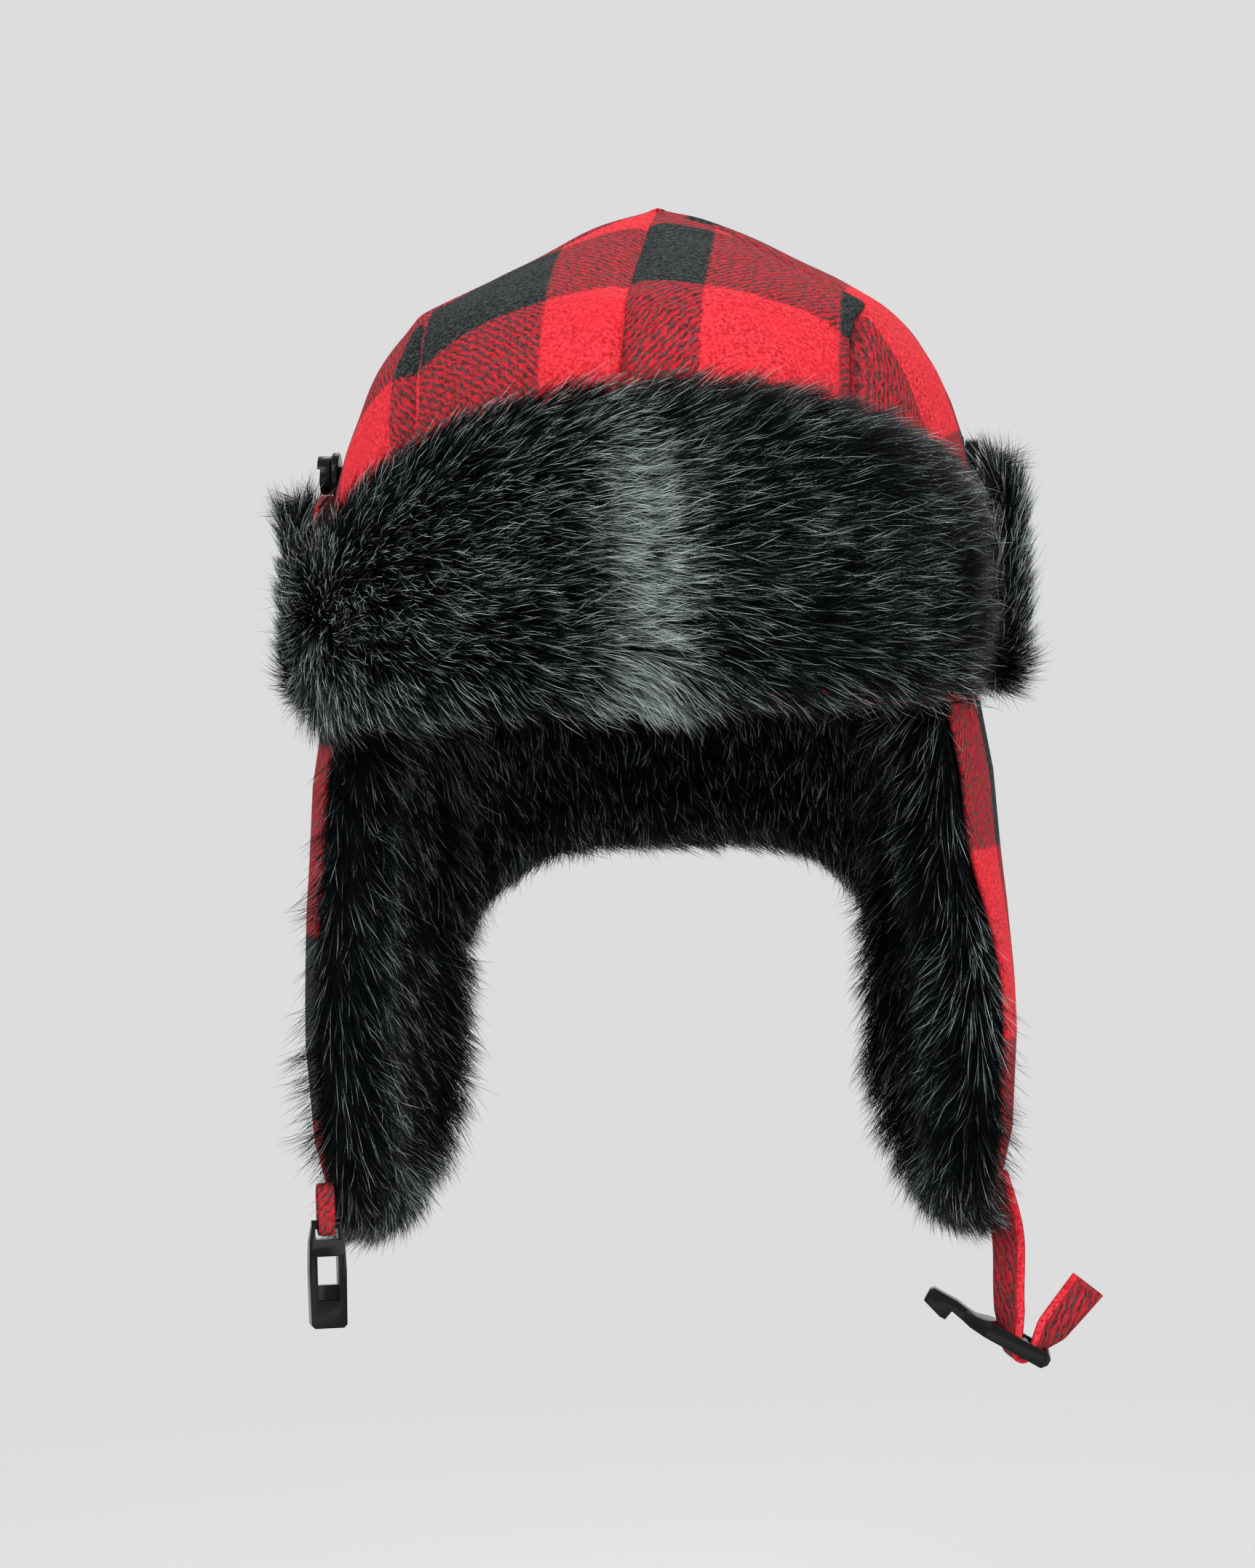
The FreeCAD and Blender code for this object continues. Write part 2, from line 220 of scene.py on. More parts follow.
def grid_faces(rows, columns, wrap):
    """Quads of a rows by columns grid of points, wrapped round along the rows if asked."""
    r, c = np.meshgrid(np.arange(rows - 1), np.arange(columns if wrap else columns - 1), indexing="ij")
    r, c = r.ravel(), c.ravel()
    right = (c + 1) % columns
    start, after = r * columns, (r + 1) * columns
    return np.stack([start + c, start + right, after + right, after + c], 1)


def slab(name, grid, thickness, inward, uv=None, wrap=False):
    """A closed piece of cloth: a grid of points, its copy a thickness away, and the rim between them."""
    rows, columns = grid.shape[:2]
    outer = grid.reshape(-1, 3)
    inner = (grid + inward * thickness).reshape(-1, 3)
    count = len(outer)
    top = grid_faces(rows, columns, wrap)
    faces = [top, top[:, ::-1] + count]
    index = np.arange(count).reshape(rows, columns)
    edges = [index[0], index[-1][::-1]]
    if not wrap:
        edges += [index[:, -1], index[::-1, 0]]
    else:
        edges = [np.append(e, e[0]) for e in (index[0], index[-1][::-1])]
    for e in edges:
        faces.append(np.stack([e[1:], e[:-1], e[:-1] + count, e[1:] + count], 1))
    both = None if uv is None else np.vstack([uv.reshape(-1, 2)] * 2)
    return clean(make_object(name, np.vstack([outer, inner]), np.vstack(faces), uv=both))


# Fur

def scatter(surface, count, rng, weight=None):
    """Random points on surface(u, v), even over its area, with their outward normals and u, v."""
    steps = 90
    u, v = np.meshgrid((np.arange(steps) + 0.5) / steps, (np.arange(steps) + 0.5) / steps)
    u, v = u.ravel(), v.ravel()
    e = 0.5 / steps
    across, along = surface(u + e, v) - surface(u - e, v), surface(u, v + e) - surface(u, v - e)
    area = np.linalg.norm(np.cross(across, along), axis=1)
    if weight is not None:
        area = area * weight(u, v)
    pick = rng.choice(len(u), count, p=area / area.sum())
    u = np.clip(u[pick] + rng.uniform(-e, e, count), 0.001, 0.999)
    v = np.clip(v[pick] + rng.uniform(-e, e, count), 0.001, 0.999)
    e = 0.0008
    across, along = surface(u + e, v) - surface(u - e, v), surface(u, v + e) - surface(u, v - e)
    return surface(u, v), unit(np.cross(across, along)), u, v


def tufts(roots, normals, size, seed):
    """The tuft each hair belongs to: a sway of its own, and the way from the root to its middle."""
    warped = roots + noises(roots, size * 2.2, seed) * size * 0.9
    cell = np.floor(warped / size).astype(np.int64)
    sway = np.stack([hashed(cell[:, 0], cell[:, 1], cell[:, 2], seed + 5 + k) for k in range(3)], 1) * 2 - 1
    pull = (cell + 0.5) * size - warped
    pull = pull - normals * np.sum(pull * normals, axis=1, keepdims=True)
    return sway, pull


STRANDS_PER_PIECE = 12000
HAIR_WIDTH = 0.115
SMALL_TUFT, LARGE_TUFT = 2.8, 8.0


def strands(roots, normals, flow, length, rng, lift, shade, spread=0.35, gather=0.42):
    """Paths of hairs: they leave the backing at a slope and lie down along the flow, in loose tufts.
    lift is the slope at the root and at the tip. Returns the paths, widths and a shade from 0, dark,
    to 1, frosted; on the wearer's right ear flap the shade also holds some painted light."""
    count = len(roots)
    flow = unit(flow - normals * np.sum(flow * normals, axis=1, keepdims=True))
    side = np.cross(normals, flow)
    sway, pull = tufts(roots, normals, SMALL_TUFT, 11)
    big_sway, big_pull = tufts(roots, normals, LARGE_TUFT, 51)
    own = rng.normal(0, 1, (count, 3))
    heading = unit(flow + side * (spread * (0.6 * sway[:, :1] + 0.5 * big_sway[:, :1] + 0.45 * own[:, :1])))
    rise0 = lift[0] * (1 + 0.25 * own[:, 1:2])
    rise1 = lift[1] + 0.14 * sway[:, 1:2] + 0.12 * big_sway[:, 1:2] + 0.1 * own[:, 2:3]
    size = np.broadcast_to(np.asarray(length, float), (count,))
    size = size * (1 + 0.16 * sway[:, 2] + 0.12 * big_sway[:, 2] + 0.14 * rng.normal(0, 1, count))
    size = np.clip(size, 2.0, None)[:, None]
    places = (0.0, 0.34, 0.7, 1.0)
    path = [roots - normals * 0.6]
    for t0, t1 in zip(places, places[1:]):
        middle = (t0 + t1) / 2
        rise = rise0 * (1 - middle) ** 1.6 + rise1 * (1 - (1 - middle) ** 1.6)
        step = unit(heading + normals * rise) * size * (t1 - t0)
        path.append(path[-1] + step + (pull * 0.4 + big_pull * gather) * (t1 ** 2 - t0 ** 2))
    guard = rng.random(count)
    tone = 0.88 * guard ** 6 + 0.06 * (sway[:, 2] + 1) + shade * (0.15 + 1.15 * guard)
    widths = HAIR_WIDTH * (0.6 + 0.35 * rng.random(count) + 0.3 * guard ** 3)
    return np.stack(path, 1), widths, np.clip(tone, 0.01, 0.99)


def hair_mesh(name, path, widths, tone):
    """Closed three-sided hairs, tapered to a point. Their UV map holds the shade and the way to the tip."""
    count = len(path)
    heading = unit(np.gradient(path, axis=1))
    reference = np.where(np.abs(heading[:, :1, 2:3]) > 0.9, np.array([1.0, 0, 0]), np.array([0, 0, 1.0]))
    side = unit(np.cross(heading, np.broadcast_to(reference, heading.shape)))
    up = np.cross(side, heading)
    points = []
    for ring, scale in ((0, 1.0), (1, 0.95), (2, 0.62)):
        for k in range(3):
            turn = 2 * pi * k / 3
            offset = side[:, ring] * cos(turn) + up[:, ring] * sin(turn)
            points.append(path[:, ring] + offset * (widths * scale)[:, None])
    points.append(path[:, 3])
    points = np.stack(points, 1)
    faces = [(2, 1, 0)]
    for ring in (0, 3):
        for k in range(3):
            a, b = ring + k, ring + (k + 1) % 3
            faces += [(a, b, b + 3), (a, b + 3, a + 3)]
    faces += [(6 + k, 6 + (k + 1) % 3, 9) for k in range(3)]
    faces = np.array(faces)
    along = np.array([0.02] * 3 + [0.34] * 3 + [0.7] * 3 + [0.98])
    everyone = (faces[None] + (np.arange(count) * 10)[:, None, None]).reshape(-1, 3)
    mesh = bpy.data.meshes.new(name)
    mesh.vertices.add(count * 10)
    mesh.vertices.foreach_set("co", (points.reshape(-1) * MM).astype(np.float32))
    mesh.loops.add(everyone.size)
    mesh.loops.foreach_set("vertex_index", everyone.ravel().astype(np.int32))
    mesh.polygons.add(len(everyone))
    mesh.polygons.foreach_set("loop_start", np.arange(0, everyone.size, 3, dtype=np.int32))
    mesh.update(calc_edges=True)
    mesh.polygons.foreach_set("use_smooth", np.ones(len(everyone), bool))
    uv = np.stack([np.repeat(tone, 10), np.tile(along, count)], 1)[everyone.ravel()]
    layer = mesh.uv_layers.new(name="OFBake")
    layer.data.foreach_set("uv", uv.astype(np.float32).ravel())
    mesh.validate()
    obj = bpy.data.objects.new(name, mesh)
    bpy.context.scene.collection.objects.link(obj)
    obj.data.materials.append(materials["hair"])
    return obj


def hair(name, path, widths, tone):
    """The hairs as several pieces, each small enough to be kept whole."""
    pieces = []
    parts = max(1, -(-len(path) // STRANDS_PER_PIECE))
    for k in range(parts):
        pieces.append(hair_mesh(f"{name}_{k + 1}", path[k::parts], widths[k::parts], tone[k::parts]))
    return pieces


def amount(full):
    return full


# Materials

class Nodes:
    """A short way to write a material's nodes."""

    def __init__(self, name):
        self.material = bpy.data.materials.new(name)
        self.material.use_nodes = True
        self.tree = self.material.node_tree
        self.shader = self.tree.nodes["Principled BSDF"]

    def add(self, kind, **settings):
        node = self.tree.nodes.new(kind)
        for key, value in settings.items():
            setattr(node, key, value)
        return node

    def link(self, out, into):
        self.tree.links.new(out, into)

    def math(self, operation, a, b=0.0):
        node = self.add("ShaderNodeMath", operation=operation)
        for socket, value in zip(node.inputs, (a, b)):
            if isinstance(value, (int, float)):
                socket.default_value = value
            else:
                self.link(value, socket)
        return node.outputs[0]

    def noise(self, vector, scale, detail, rough=0.6):
        node = self.add("ShaderNodeTexNoise")
        node.inputs["Scale"].default_value = scale
        node.inputs["Detail"].default_value = detail
        node.inputs["Roughness"].default_value = rough
        self.link(vector, node.inputs["Vector"])
        return node.outputs["Fac"]

    def smooth_step(self, value, low, high):
        node = self.add("ShaderNodeMapRange", interpolation_type="SMOOTHSTEP")
        for key, number in (("From Min", low), ("From Max", high), ("To Min", 0), ("To Max", 1)):
            node.inputs[key].default_value = number
        self.link(value, node.inputs["Value"])
        return node.outputs[0]

    def mix(self, factor, a, b):
        node = self.add("ShaderNodeMix", data_type="RGBA")
        for socket, value in ((node.inputs[0], factor), (node.inputs[6], a), (node.inputs[7], b)):
            if isinstance(value, tuple):
                socket.default_value = (*value, 1)
            elif isinstance(value, (int, float)):
                socket.default_value = value
            else:
                self.link(value, socket)
        return node.outputs[2]

    def bump(self, height, strength, distance):
        node = self.add("ShaderNodeBump")
        node.inputs["Strength"].default_value = strength
        node.inputs["Distance"].default_value = distance
        self.link(height, node.inputs["Height"])
        self.link(node.outputs[0], self.shader.inputs["Normal"])

    def set(self, **values):
        for key, value in values.items():
            self.shader.inputs[key.replace("_", " ")].default_value = value
        return self.material


def wool_material():
    """Brushed wool in a buffalo check: red, near-black, and a diagonal twill where a red stripe
    crosses a black one. The mesh's map says where each point lies on the flat cloth."""
    n = Nodes("wool_check")
    place = n.add("ShaderNodeTexCoord").outputs["Object"]
    fine = n.noise(place, 900, 2)
    lint = n.noise(place, 2600, 2, 0.7)
    broad = n.noise(place, 60, 3)
    split = n.add("ShaderNodeSeparateXYZ")
    n.link(n.add("ShaderNodeUVMap", uv_map="cloth").outputs[0], split.inputs[0])
    across, along = split.outputs[0], split.outputs[1]
    wander = n.math("MULTIPLY", n.math("SUBTRACT", fine, 0.5), 0.03)
    stripes = []  # dark in the first half of each repeat of the check
    for value in (across, along):
        moved = n.math("ADD", value, wander)
        wave = n.math("PINGPONG", n.math("ADD", n.math("FRACT", moved), 0.25), 0.5)
        stripes.append(n.smooth_step(wave, 0.245, 0.262))
    warp, weft = stripes
    both = n.math("MULTIPLY", warp, weft)
    either = n.math("MAXIMUM", warp, weft)
    mixed = n.math("SUBTRACT", either, both)
    x, y = n.math("MULTIPLY", across, WARP), n.math("MULTIPLY", along, WEFT)
    line = n.math("ADD", n.math("MULTIPLY", x, 0.8), n.math("MULTIPLY", y, 0.62))
    line = n.math("ADD", line, n.math("MULTIPLY", n.math("SUBTRACT", n.noise(place, 300, 2), 0.5), 2.5))
    twill = n.math("PINGPONG", line, 0.95)
    strand = n.add("ShaderNodeCombineXYZ")
    n.link(n.math("MULTIPLY", line, 1.5), strand.inputs[0])
    n.link(n.math("SUBTRACT", n.math("MULTIPLY", y, 0.25), n.math("MULTIPLY", x, 0.2)), strand.inputs[1])
    streaks = n.math("SUBTRACT", n.noise(strand.outputs[0], 1, 2), 0.5)
    broken = n.math("ADD", twill, n.math("MULTIPLY", streaks, 4.0))
    broken = n.math("ADD", broken, n.math("MULTIPLY", n.math("SUBTRACT", fine, 0.5), 2.2))
    stroke = n.smooth_step(broken, -0.2, 0.95)
    dark = n.math("ADD", both, n.math("MULTIPLY", mixed, n.math("MULTIPLY", stroke, 0.88)))
    dark = n.math("MINIMUM", dark, 1.0)
    red = n.mix(n.smooth_step(fine, 0.32, 0.68), (0.37, 0.010, 0.020), (0.84, 0.044, 0.058))
    red = n.mix(n.smooth_step(broad, 0.35, 0.7), red, n.mix(0.5, red, (0.66, 0.018, 0.03)))
    red = n.mix(n.math("MULTIPLY", n.smooth_step(lint, 0.62, 0.8), 0.4), red, (0.95, 0.19, 0.19))
    black = n.mix(n.smooth_step(fine, 0.35, 0.7), (0.004, 0.0065, 0.0065), (0.044, 0.051, 0.051))
    black = n.mix(n.math("MULTIPLY", n.smooth_step(lint, 0.66, 0.82), 0.5), black, (0.13, 0.12, 0.12))
    red = n.mix(n.math("MULTIPLY", mixed, 0.62), red, (0.40, 0.013, 0.024))
    n.link(n.mix(dark, red, black), n.shader.inputs["Base Color"])
    height = n.math("ADD", n.math("MULTIPLY", fine, 0.7), n.math("MULTIPLY", lint, 0.4))
    n.bump(height, 0.55, 0.0005)
    return n.set(Roughness=0.95, Specular_IOR_Level=0.1)


def hair_material():
    """Hairs: dark at the root, partly their own dark base and partly painted shade deep in the pile, and
    tipped with more grey the lighter the hair's shade is.
    """
    n = Nodes("faux_fur_hair")
    split = n.add("ShaderNodeSeparateXYZ")
    n.link(n.add("ShaderNodeUVMap", uv_map="OFBake").outputs[0], split.inputs[0])
    shade, along = split.outputs[0], split.outputs[1]
    tip = n.mix(n.smooth_step(shade, 0.22, 0.95), (0.0016, 0.0055, 0.0055), (0.86, 0.99, 0.96))
    middle = n.mix(n.smooth_step(shade, 0.3, 1.0), (0.0008, 0.0026, 0.0026), (0.23, 0.275, 0.27))
    # painted shade: each hair darkens from its middle to its root, partly its own dark base and partly
    # shade deep in the pile
    lower = n.mix(n.smooth_step(along, 0.0, 0.5), (0.0005, 0.0009, 0.0009), middle)
    n.link(n.mix(n.smooth_step(along, 0.5, 1.0), lower, tip), n.shader.inputs["Base Color"])
    return n.set(Roughness=0.38, Specular_IOR_Level=0.06)


def pelt_material():
    """The near-black cloth that the hairs grow from."""
    n = Nodes("faux_fur_backing")
    place = n.add("ShaderNodeTexCoord").outputs["Object"]
    grain = n.noise(place, 700, 4)
    n.link(n.mix(grain, (0.0006, 0.0008, 0.0008), (0.004, 0.005, 0.005)), n.shader.inputs["Base Color"])
    n.bump(grain, 0.9, 0.0015)
    return n.set(Roughness=0.95, Specular_IOR_Level=0.1)


def lining_material(name, low, high, scale):
    """Black lining or knit: a grain between two tones, under a faint diagonal weave."""
    n = Nodes(name)
    place = n.add("ShaderNodeTexCoord").outputs["Object"]
    grain = n.noise(place, scale, 3)
    wave = n.add("ShaderNodeTexWave", bands_direction="DIAGONAL")
    wave.inputs["Scale"].default_value = 420
    wave.inputs["Distortion"].default_value = 1.5
    n.link(place, wave.inputs["Vector"])
    n.link(n.mix(grain, low, high), n.shader.inputs["Base Color"])
    n.bump(n.math("ADD", grain, n.math("MULTIPLY", wave.outputs["Fac"], 0.5)), 0.35, 0.0003)
    return n.set(Roughness=0.5, Specular_IOR_Level=0.4)


def plastic_material():
    """Glossy black moulded plastic with a faint moulding grain and fingerprints in its gloss."""
    n = Nodes("buckle_plastic")
    place = n.add("ShaderNodeTexCoord").outputs["Object"]
    smear = n.noise(place, 160, 4)
    n.link(n.mix(smear, (0.002, 0.002, 0.0024), (0.008, 0.008, 0.009)), n.shader.inputs["Base Color"])
    n.link(n.math("ADD", n.math("MULTIPLY", smear, 0.16), 0.1), n.shader.inputs["Roughness"])
    n.bump(n.noise(place, 900, 2), 0.05, 0.0002)
    return n.set(Specular_IOR_Level=0.12)


materials = {
    "wool": wool_material(), "hair": hair_material(),
    "pelt": pelt_material(), "plastic": plastic_material(),
    "lining": lining_material("quilted_lining", (0.006, 0.006, 0.008), (0.02, 0.02, 0.024), 500),
    "headband": lining_material("headband_knit", (0.008, 0.008, 0.009), (0.028, 0.028, 0.03), 1200)}


def finish_piece(obj, material):
    obj.data.materials.append(materials[material])
    return obj


# Camera, lights and floor

def aimed(place, target):
    """The matrix of a camera or lamp at a place, looking at the target."""
    look = (target - place).to_track_quat("-Z", "Y").to_matrix().to_4x4()
    return Matrix.Translation(place) @ look


def make_camera():
    level = cos(CAMERA_TILT)
    away = Vector((sin(CAMERA_YAW) * level, -cos(CAMERA_YAW) * level, sin(CAMERA_TILT)))
    target = AIM + Vector((cos(CAMERA_YAW), sin(CAMERA_YAW), 0)) * AIM_SHIFT
    camera = bpy.data.objects.new("camera", bpy.data.cameras.new("camera"))
    bpy.context.scene.collection.objects.link(camera)
    roll = Matrix.Rotation(CAMERA_ROLL, 4, "Z")
    camera.matrix_world = aimed(target + away * CAMERA_DISTANCE, target) @ roll
    camera.data.lens = CAMERA_LENS
    camera.data.sensor_width = SENSOR
    bpy.context.scene.camera = camera


def make_lights():
    for name, place, size, power in LAMPS:
        data = bpy.data.lights.new(name, "AREA")
        data.size = size
        data.energy = power
        lamp = bpy.data.objects.new(name, data)
        lamp.matrix_world = aimed(Vector(place), AIM)
        bpy.context.scene.collection.objects.link(lamp)
    bpy.context.scene.view_settings.view_transform = "Standard"
    world = bpy.data.worlds.new("studio")
    world.use_nodes = True
    world.node_tree.nodes["Background"].inputs[0].default_value = (BACKGROUND, BACKGROUND, BACKGROUND, 1)
    world.node_tree.nodes["Background"].inputs[1].default_value = 1.0
    bpy.context.scene.world = world


def make_floor():
    """A round pale floor that fades out into the background."""
    height = CAD_BOUNDS[0][2] / MM - FLOOR_DROP
    turns = np.linspace(0, 2 * pi, 97)[:-1]
    points = [(r * cos(a), r * sin(a), height) for r in FLOOR_RINGS for a in turns]
    floor = clean(make_object("studio_floor", points, grid_faces(len(FLOOR_RINGS), len(turns), wrap=True)))
    n = Nodes("studio_floor")
    n.set(Roughness=1.0, Specular_IOR_Level=0.0, Base_Color=(FLOOR_TONE, FLOOR_TONE, FLOOR_TONE, 1))
    flat = n.add("ShaderNodeVectorMath", operation="MULTIPLY")
    flat.inputs[1].default_value = (1, 1, 0)
    n.link(n.add("ShaderNodeTexCoord").outputs["Object"], flat.inputs[0])
    reach = n.add("ShaderNodeVectorMath", operation="LENGTH")
    n.link(flat.outputs[0], reach.inputs[0])
    fade = n.smooth_step(reach.outputs["Value"], FADE_START, FADE_END)
    n.link(n.math("SUBTRACT", 1.0, fade), n.shader.inputs["Alpha"])
    floor.data.materials.append(n.material)


# Crown

def crown_surface(start, end, u, v):
    """The crown between two seams: start and end turn a height's seam angle into the gore's edges."""
    swell = np.sin(pi * u) ** 0.7
    profile = smooth_curve(SEAM, v) * (1 - swell[..., None]) + smooth_curve(BETWEEN, v) * swell[..., None]
    r, z = profile[..., 0], profile[..., 1]
    seam = np.interp(z, SEAM_ANGLE[:, 0], SEAM_ANGLE[:, 1])
    low, high = start(seam), end(seam)
    angle = np.radians(low + (high - low) * u + TWIST)
    dip = 2.6 * np.exp(-(np.minimum(u, 1 - u) * np.maximum(r, 6) / 2.6) ** 2)
    r = np.maximum(r - dip * (r > 3), 0)
    x, y = oval(r, angle)
    return np.stack([x, y, z], -1), r


def cloth_map(points, r, hang, side, offset, grain):
    """Flattens a gore: distances across and along the cloth, whose grain follows the hang angle."""
    turn = np.arctan2(points[..., 0], -points[..., 1])
    turn = (turn - hang + pi) % (2 * pi) - pi
    reach = np.linalg.norm(points[..., :2], axis=-1)
    fall = CROWN_TOP - points[..., 2]
    on_top = points[..., 2] > SHOULDER_Z
    share = np.where(on_top, 1.0, np.clip(SHOULDER_RADIUS / np.maximum(r, 1), 0, 1))
    slope = np.hypot(reach * share, np.minimum(fall, CROWN_TOP - SHOULDER_Z))
    down = np.where(on_top, 0, (SHOULDER_Z - points[..., 2]) * 1.06)
    across = slope * np.sin(turn * 0.93) / np.maximum(share, 0.3) * side
    along = slope * np.cos(turn * 0.93) + down
    turned = [across * cos(grain) - along * sin(grain), across * sin(grain) + along * cos(grain)]
    return (np.stack(turned, -1) + offset) / [WARP, WEFT]


def make_crown():
    """Six gores. Each has its two edges as functions of the seam's angle, the angle its grain hangs
    along, its hand, where its check starts in mm, and its grain's slant in degrees."""
    gores = {
        "crown_gore_front_left": (lambda s: 0 * s, lambda s: s, 0.0, 1, (21, -23), 0),
        "crown_gore_front_right": (lambda s: 0 * s, lambda s: -s, 0.0, -1, (-27, -27), 0),
        "crown_gore_side_left": (lambda s: s, lambda s: 180 - s, pi / 2, 1, (88, -9), 0),
        "crown_gore_side_right": (lambda s: -s, lambda s: s - 180, -pi / 2, -1, (17.6, -48.9), -40),
        "crown_gore_back_left": (lambda s: 180 - s, lambda s: 180 + 0 * s, pi, 1, (30, -20), 0),
        "crown_gore_back_right": (lambda s: s - 180, lambda s: -180 + 0 * s, -pi, -1, (-20, -34), 0),
    }
    for name, (start, end, hang, side, offset, grain) in gores.items():
        v, u = shares(120, 61)
        points, r = crown_surface(start, end, u, v)
        flat = points.reshape(-1, 3)
        outward = unit(flat * [1, 1 / DEPTH_RATIO ** 2, 0.3] + [0, 0, 0.01])
        lumps = 0.8 * noise(flat, 26, 5) + 0.45 * noise(flat, 11, 6)
        points = leaned((flat + outward * lumps[:, None]).reshape(points.shape))
        mapped = cloth_map(flat.reshape(points.shape), r, hang, side, offset, radians(grain))
        if "front" in name:  # its hem is tucked up behind the visor
            points[..., 2] = np.maximum(points[..., 2], 3)
        inward = unit(CROWN_CENTRE - points)
        gore = slab(name.replace("crown_gore", "gore"), points, CLOTH, inward, uv=mapped)
        finish_piece(gore, "wool")
        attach(gore, "crown")
        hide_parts(name)


def make_lining():
    """The quilted lining: it follows the crown's inside and turns out at the rim to meet the cloth."""
    v, u = shares(110, 240, wrap=True)
    profile = smooth_curve((SEAM + BETWEEN) / 2, v)
    r, z = profile[..., 0], profile[..., 1]
    angle = u * 2 * pi
    quilt = 1.4 * np.abs(np.sin(angle * 12 + v * 14)) ** 0.5 * np.abs(np.sin(angle * 12 - v * 14)) ** 0.5
    flare = 6.6 * np.exp(-((z + 0.5) / 1.1) ** 2)
    inner_r = np.maximum(r - PADDING - quilt + 0.9 + flare, 0)
    inner_z = np.where(z > 100, z - PADDING * (z - 100) / 51, z)
    x, y = oval(inner_r, angle)
    points = leaned(np.stack([x, y, inner_z], -1))
    lining = slab("crown_inside", points, 0.6, unit(points - CROWN_CENTRE), wrap=True)
    finish_piece(lining, "lining")
    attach(lining, "crown")
    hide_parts("crown_lining", "crown_wadding")


def make_headband():
    """The ribbed knit band inside the rim."""
    low, high = (np.array(c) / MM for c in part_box("headband"))
    v, u = shares(22, 1440, wrap=True)
    angle = 2 * pi * u
    edge = np.clip(np.minimum(v, 1 - v) / 0.06, 0, 1)
    thick = high[0] - INNER_RADIUS
    r = INNER_RADIUS + 0.35 * thick * (1 - np.sqrt(1 - (1 - edge) ** 2)) + 0.14 * (1 + np.cos(angle * 180))
    r = r + 0.12 * (1 + np.cos(v * 2 * pi * 16 + angle * 2))
    x, y = oval(r, angle)
    points = np.stack([x, y, low[2] + (high[2] - low[2]) * v], -1)
    band = slab("headband_knit", points, 0.55 * thick, unit(points * [1, 1, 0]), wrap=True)
    finish_piece(band, "headband")
    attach(band, "crown")
    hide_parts("headband")


# Visor

def visor_top(angle):
    """Height of the visor's top edge, round its sweep."""
    share = np.abs(angle / radians(VISOR_ANGLE))
    return VISOR_HEIGHT - np.where(angle > 0, 27 * share ** 2.6, 44 * share ** 2.0)


def visor_surface(u, v):
    """The backing under the visor's fur: a rounded band. u goes round, v from the hem up and over."""
    angle = np.radians(VISOR_ANGLE) * (2 * u - 1)
    turn = pi * v
    z = VISOR_BOTTOM + (visor_top(angle) - VISOR_BOTTOM) * (0.5 - 0.5 * np.cos(turn))
    ends = np.sqrt(np.clip(1 - np.abs(2 * u - 1) ** 14, 0, 1))
    off = 2.6 + (8.5 * ends + 0.6) * np.sin(np.clip(turn, 0, pi)) ** 0.55
    x, y = oval(crown_radius(z) + off, angle)
    return leaned(np.stack([x, y, z], -1))


def pelt(name, surface, rows, columns, wrap=False):
    """The fur's backing as a closed piece just under the hair roots."""
    v, u = shares(rows, columns if wrap else columns + 1, wrap)
    points = surface(u.ravel(), v.ravel()).reshape(*u.shape, 3)
    e = 0.004
    across = surface(u.ravel() + e, v.ravel()) - surface(u.ravel() - e, v.ravel())
    along = surface(u.ravel(), v.ravel() + e) - surface(u.ravel(), v.ravel() - e)
    outward = unit(np.cross(across, along)).reshape(points.shape)
    obj = slab(name, points - outward * 0.2, 1.2, -outward, wrap=wrap)
    return finish_piece(obj, "pelt")


def make_visor():
    """The turned-up fur visor: its backing, its hair and the cloth against the crown."""
    def blend(obj):
        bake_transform(obj)

    rng = np.random.default_rng(101)
    backing = pelt("visor_backing", visor_surface, 60, 150)
    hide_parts("visor_fur", "visor_stiffener")
    blend(backing)

    roots, normals, u, v = scatter(visor_surface, amount(60000), rng,
                                   lambda u, v: 0.35 + 0.65 * (v > 0.06) * (v < 0.97))
    x, z = roots[:, 0], roots[:, 2]
    lean = np.zeros_like(roots)
    left_end = np.clip((-x - 84) / 10, 0, 1)
    lean[:, 0] = 1 - 2.0 * left_end
    lean[:, 1] = np.where(x > 0, 0.6, -0.4)
    upper = np.clip((z - 62) / 30, 0, 1)
    lower = np.clip((20 - z) / 18, 0, 1)
    left = np.clip((-x - 10) / 60, 0, 1)
    lean[:, 2] = 0.25 * upper + 1.0 * upper * left - 0.95 * lower + 0.22 * noise(roots, 30, 3)
    lean[:, 2] += np.where(np.abs(x + 5) < 16, 0.5 * noise(roots, 14, 8) * upper, 0)
    middle = np.exp(-((x + 1 - 0.1 * (40 - z)) / (9 + 0.08 * np.clip(80 - z, 0, 80))) ** 2)
    streak = middle * np.clip((96 - z) / 40, 0.25, 1) * 0.86 + np.exp(-((x - 90) / 14) ** 2) * 0.3 * upper
    streak += np.exp(-((x + 88) / 12) ** 2) * 0.2 * np.clip((50 - z) / 40, 0, 1) + 0.1 * lower
    shade = streak + 0.14 * noise(roots, 16, 4) - 0.06 * (x > 14)
    lean[:, 2] += left_end * (z - 34) / 34
    length = 15.5 + 1.5 * noise(roots, 20, 9) + 1.0 * left_end
    path, widths, tone = strands(roots, normals, lean, length, rng, lift=(0.95, 0.24), shade=shade)
    for piece in hair("visor_hair", path, widths, tone):
        blend(piece)

    v, u = shares(30, 100)
    angle = np.radians(VISOR_ANGLE - 1) * (2 * u - 1)
    z = 5 + (visor_top(angle) - 8) * v
    x, y = oval(crown_radius(z) + 1.0, angle)
    points = leaned(np.stack([x, y, z], -1))
    mapped = np.stack([u * 240 / WARP, points[..., 2] / WEFT + 0.2], -1)
    shell = slab("visor_cloth", points, CLOTH, unit(points * [1, 1, 0]), uv=mapped)
    finish_piece(shell, "wool")
    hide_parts("visor_shell")
    blend(shell)


# Flaps

